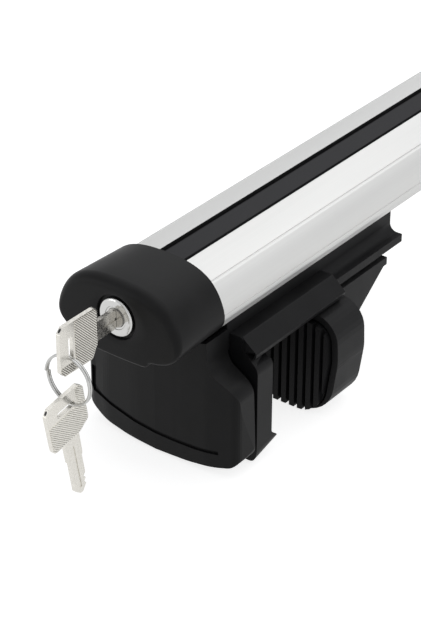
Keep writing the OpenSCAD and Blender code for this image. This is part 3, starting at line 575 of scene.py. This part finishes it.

# A dimple on each outer corner of the bows, coloured black as painted shade
corner_cut = 1.3 * MM
dimple, dimple_deep, dimple_proud = 1.0 * MM, 0.2 * MM, 0.03 * MM
for name, key_body, pose in (("key_dimple_shade", "key", near_end), ("spare_key_dimple_shade", "spare_key", hanging)):
    dimples = bmesh.new()
    for side in (1, -1):
        made = bmesh.ops.create_circle(dimples, cap_ends=True, segments=24, radius=dimple)["verts"]
        bmesh.ops.scale(dimples, verts=made, vec=(0.6, 1.1, 1))
        face = [f for f in dimples.faces if f.verts[0] in made]
        pressed = bmesh.ops.extrude_face_region(dimples, geom=face)["geom"]
        back = [v for v in pressed if isinstance(v, bmesh.types.BMVert)]
        bmesh.ops.translate(dimples, verts=back, vec=(0, 0, -dimple_deep))
        outward = Vector((0, -1, side)).normalized()
        corner = Vector((0, bow_low + corner_cut, side * (bow_side - corner_cut)))
        leaning = Matrix.Rotation(math.radians(135 if side < 0 else 45), 4, "X")
        seat = Matrix.Translation(corner + outward * dimple_proud)
        bmesh.ops.transform(dimples, verts=made + back, matrix=seat @ leaning)
    bmesh.ops.transform(dimples, verts=dimples.verts, matrix=pose)
    new_piece(name, dimples, black_steel, key_body, False)

# The split ring: one wire wound twice round, its ends cut square
ring_steel, tree, shader = new_finish("ring_steel", (0.48, 0.48, 0.47), 0.15, 1.0)
tree.links.new(spread(tree, grain(tree, 500), 0.12, 0.22), shader.inputs["Roughness"])
dress("split_ring", ring_steel)
wound = bmesh.new()
steps = 160
per_turn = 1.8 * wire
end_gap = 0.08
bmesh.ops.create_circle(wound, segments=16, radius=wire)
bmesh.ops.rotate(wound, verts=wound.verts, matrix=Matrix.Rotation(math.pi / 2, 3, "X"))
bmesh.ops.translate(wound, verts=wound.verts, vec=(-ring_radius, 0, -per_turn))
bmesh.ops.spin(wound, geom=wound.verts[:] + wound.edges[:], cent=(0, 0, 0), axis=(0, 0, 1),
               dvec=(0, 0, 2 * per_turn / steps), angle=4 * math.pi - end_gap, steps=steps)
bmesh.ops.holes_fill(wound, edges=[e for e in wound.edges if e.is_boundary])
ring_middle = Matrix.Translation(ring_top - Vector((0, 0, ring_radius)))
upright = Matrix.Rotation(math.pi / 2, 4, "X")
bmesh.ops.transform(wound, verts=wound.verts, matrix=ring_middle @ upright)
wire_ring = new_piece("wound_ring", wound, ring_steel, "ring")
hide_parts("split_ring")

# The studio
# A pale floor under the feet, a white surround and large soft lamps overhead, at the
# right and in front. The camera stands where the photograph was taken from.

floor_low = cad_box[0].z - 0.5 * MM
floor_mesh = bmesh.new()
bmesh.ops.create_grid(floor_mesh, x_segments=1, y_segments=1, size=6)
bmesh.ops.translate(floor_mesh, verts=floor_mesh.verts, vec=(0, 0, floor_low))
floor = bpy.data.objects.new("floor", bpy.data.meshes.new("floor"))
floor_mesh.to_mesh(floor.data)
floor_mesh.free()
bpy.context.scene.collection.objects.link(floor)
paper, tree, shader = new_finish("floor_paper", (0.5, 0.5, 0.5), 0.9)
floor.data.materials.append(paper)
shades = tint(tree, grain(tree, 3), (0.49, 0.49, 0.49), (0.51, 0.51, 0.51))
tree.links.new(shades, shader.inputs["Base Color"])
# The camera and glossy reflections see the paper lit, and nothing else does
shader.inputs["Emission Color"].default_value = (1, 1, 1, 1)
seen = tree.nodes.new("ShaderNodeLightPath")
either = tree.nodes.new("ShaderNodeMath")
either.operation = "MAXIMUM"
lift = tree.nodes.new("ShaderNodeMath")
lift.operation = "MULTIPLY"
lift.inputs[1].default_value = 0.8
tree.links.new(seen.outputs["Is Camera Ray"], either.inputs[0])
tree.links.new(seen.outputs["Is Glossy Ray"], either.inputs[1])
tree.links.new(either.outputs["Value"], lift.inputs[0])
tree.links.new(lift.outputs["Value"], shader.inputs["Emission Strength"])

# The surround is dim, but white to the camera and nearly white in glossy reflections
world = bpy.data.worlds.new("surround")
bpy.context.scene.world = world
world.use_nodes = True
tree = world.node_tree
ambient = tree.nodes["Background"]
ambient.inputs["Color"].default_value = (0.75, 0.76, 0.78, 1)
ambient.inputs["Strength"].default_value = 0.45
gloss = tree.nodes.new("ShaderNodeBackground")
gloss.inputs["Color"].default_value = (0.98, 0.985, 1, 1)
gloss.inputs["Strength"].default_value = 0.92
white = tree.nodes.new("ShaderNodeBackground")
white.inputs["Color"].default_value = (1, 1, 1, 1)
white.inputs["Strength"].default_value = 1.0
seen = tree.nodes.new("ShaderNodeLightPath")
pick = tree.nodes.new("ShaderNodeMixShader")
tree.links.new(seen.outputs["Is Camera Ray"], pick.inputs["Fac"])
mirror = tree.nodes.new("ShaderNodeMixShader")
tree.links.new(seen.outputs["Is Glossy Ray"], mirror.inputs["Fac"])
tree.links.new(ambient.outputs["Background"], mirror.inputs[1])
tree.links.new(gloss.outputs["Background"], mirror.inputs[2])
tree.links.new(mirror.outputs["Shader"], pick.inputs[1])
tree.links.new(white.outputs["Background"], pick.inputs[2])
tree.links.new(pick.outputs["Shader"], tree.nodes["World Output"].inputs["Surface"])


def lamp(name, spot, target, size, power):
    """Hangs a square soft box at a spot, facing a target."""
    light = bpy.data.lights.new(name, "AREA")
    light.size = size
    light.energy = power
    holder = bpy.data.objects.new(name, light)
    holder.location = spot
    holder.rotation_mode = "QUATERNION"
    holder.rotation_quaternion = (Vector(target) - Vector(spot)).to_track_quat("-Z", "Y")
    bpy.context.scene.collection.objects.link(holder)


near_foot = (0, -0.53, -0.03)
lamp("overhead", (0.1, 0.2, 2.0), near_foot, 3.0, 27)
lamp("right_side", (2.2, -0.2, 1.2), near_foot, 1.6, 8)
lamp("left_front", (-1.3, -2.0, 0.25), near_foot, 0.7, 3)

# The photograph's camera looks down at the lock's face from the right, away metres from it, and the
# face lies right_off and up_off metres from the middle of the picture
turn, drop = math.radians(37.4), math.radians(31.0)
away, right_off, up_off = 0.832, -0.0402, -0.0009
right = Vector((math.cos(turn), math.sin(turn), 0))
ahead = Vector((-math.sin(turn) * math.cos(drop), math.cos(turn) * math.cos(drop), -math.sin(drop)))
up = right.cross(ahead)
eye = lock_face - right * right_off - up * up_off - ahead * away
camera = bpy.data.objects.new("camera", bpy.data.cameras.new("camera"))
camera.data.lens = 111.8
camera.data.sensor_width = 36
camera.data.clip_start = 0.05
camera.data.clip_end = 30
camera.location = eye
camera.rotation_mode = "QUATERNION"
camera.rotation_quaternion = Matrix((right, up, -ahead)).transposed().to_quaternion()
bpy.context.scene.collection.objects.link(camera)
bpy.context.scene.camera = camera
bpy.context.scene.view_settings.view_transform = "Standard"
